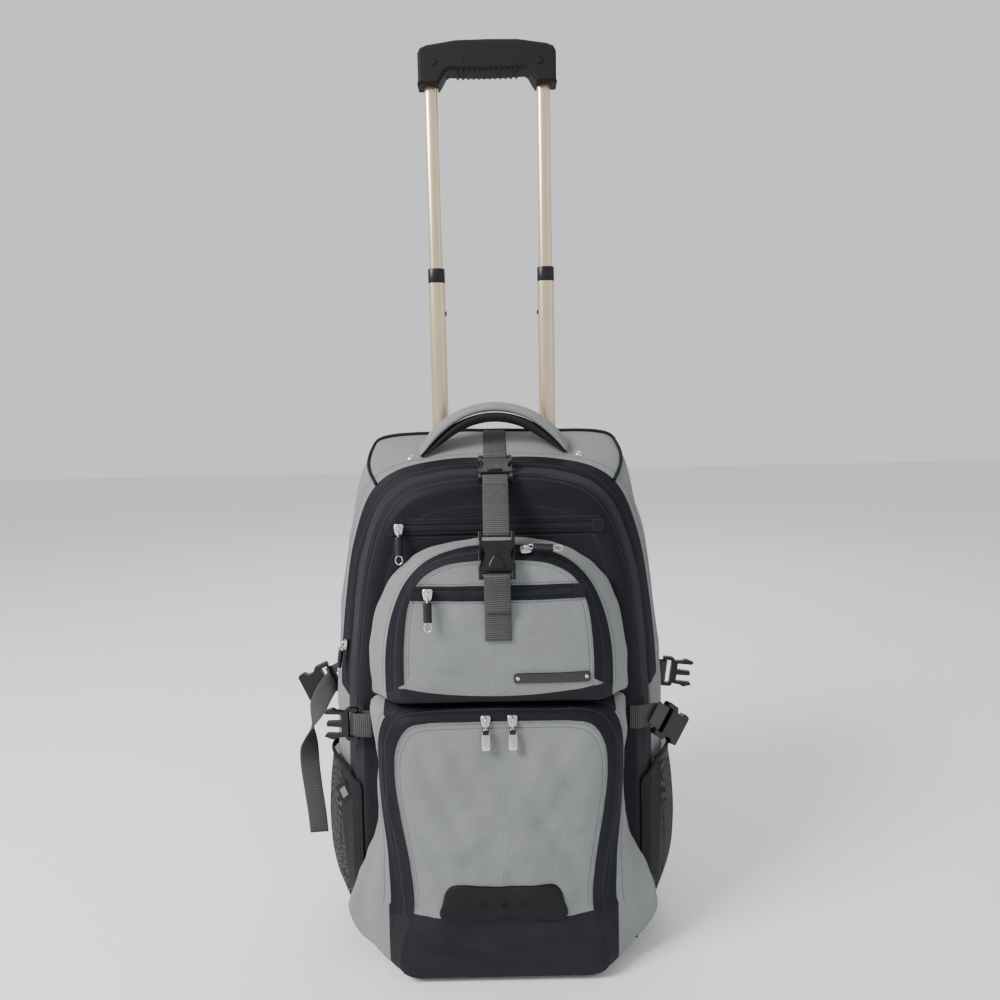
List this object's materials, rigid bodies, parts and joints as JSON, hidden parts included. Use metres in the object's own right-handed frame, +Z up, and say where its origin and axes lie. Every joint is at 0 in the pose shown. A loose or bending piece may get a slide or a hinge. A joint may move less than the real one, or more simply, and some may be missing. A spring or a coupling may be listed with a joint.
{
  "type": "wheeled backpack",
  "caption": "Wheeled backpack with stacked front pockets, mesh side pockets, buckled straps, a telescoping trolley handle drawn out and shoulder straps behind.",
  "frame": {"origin": "middle of the bounding box on the floor that the wheels and feet stand on", "axes": "+Z up along the drawn trolley handle, the front with its pockets faces -Y, +X to the right of someone facing the front"},
  "size_m": [0.4622, 0.2678, 0.982],
  "materials": {
    "grey_cloth": "woven, matte",
    "charcoal_cloth": "woven, matte",
    "zip_tape": "zip tape and coil, matte",
    "mesh_cloth": "open mesh, matte",
    "webbing": "ribbed webbing, matte",
    "black_plastic": "moulded, satin",
    "anodised_tube": "champagne anodised, satin",
    "nickel": "brushed nickel plate",
    "rubber": "matte"
  },
  "bodies": {
    "root": {"main_compartment": "grey_cloth", "upper_pocket": "grey_cloth", "lower_pocket": "grey_cloth", "back_panel": "grey_cloth", "grab_handle": "grey_cloth", "front_compartment": "charcoal_cloth", "shoulder_strap_left": "charcoal_cloth", "shoulder_strap_right": "charcoal_cloth", "main_compartment_zip": "zip_tape", "front_compartment_zip": "zip_tape", "upper_pocket_zip": "zip_tape", "lower_pocket_zip": "zip_tape", "front_welt_zip": "zip_tape", "upper_welt_zip": "zip_tape", "back_pad": "mesh_cloth", "mesh_pocket_left": "mesh_cloth", "mesh_pocket_right": "mesh_cloth", "grab_lining": "mesh_cloth", "centre_webbing_top": "webbing", "centre_webbing_middle": "webbing", "centre_webbing_tail": "webbing", "left_front_webbing": "webbing", "right_front_webbing": "webbing", "right_rear_webbing": "webbing", "left_rear_webbing": "webbing", "shoulder_webbing_left": "webbing", "shoulder_webbing_right": "webbing", "base_tray": "black_plastic", "tube_bezel": "black_plastic", "upper_buckle": "black_plastic", "lower_buckle": "black_plastic", "left_front_buckle": "black_plastic", "right_front_buckle": "black_plastic", "right_rear_buckle": "black_plastic", "left_rear_buckle": "black_plastic", "ladder_lock_left": "black_plastic", "ladder_lock_right": "black_plastic", "label_plate": "black_plastic", "outer_tube_left": "anodised_tube", "outer_tube_right": "anodised_tube", "axle_left": "nickel", "axle_right": "nickel", "pull_front_welt": "nickel", "pull_upper_welt": "nickel", "pull_lower_left": "nickel", "pull_lower_right": "nickel", "pull_main": "nickel", "pull_upper_arch": "nickel", "bumper_patch": "rubber"},
    "middle_stage": {"middle_tube_left": "anodised_tube", "middle_tube_right": "anodised_tube", "catch_button_left": "nickel", "catch_button_right": "nickel"},
    "inner_stage": {"inner_tube_left": "anodised_tube", "inner_tube_right": "anodised_tube", "handle_grip": "black_plastic", "release_button": "rubber"},
    "wheel_left": {"wheel_left": "rubber"},
    "wheel_right": {"wheel_right": "rubber"}
  },
  "joints": [
    {"name": "middle_slide", "type": "slide", "parent": "root", "child": "middle_stage", "axis": [0, 0, 1], "range_m": [-0.188, 0]},
    {"name": "inner_slide", "type": "slide", "parent": "middle_stage", "child": "inner_stage", "axis": [0, 0, 1], "range_m": [-0.188, 0]},
    {"name": "left_wheel_spin", "type": "hinge", "parent": "root", "child": "wheel_left", "pos_m": [-0.14252, 0.08061, 0.025], "axis": [1, 0, 0], "continuous": true},
    {"name": "right_wheel_spin", "type": "hinge", "parent": "root", "child": "wheel_right", "pos_m": [0.14948, 0.08061, 0.025], "axis": [1, 0, 0], "continuous": true}
  ]
}
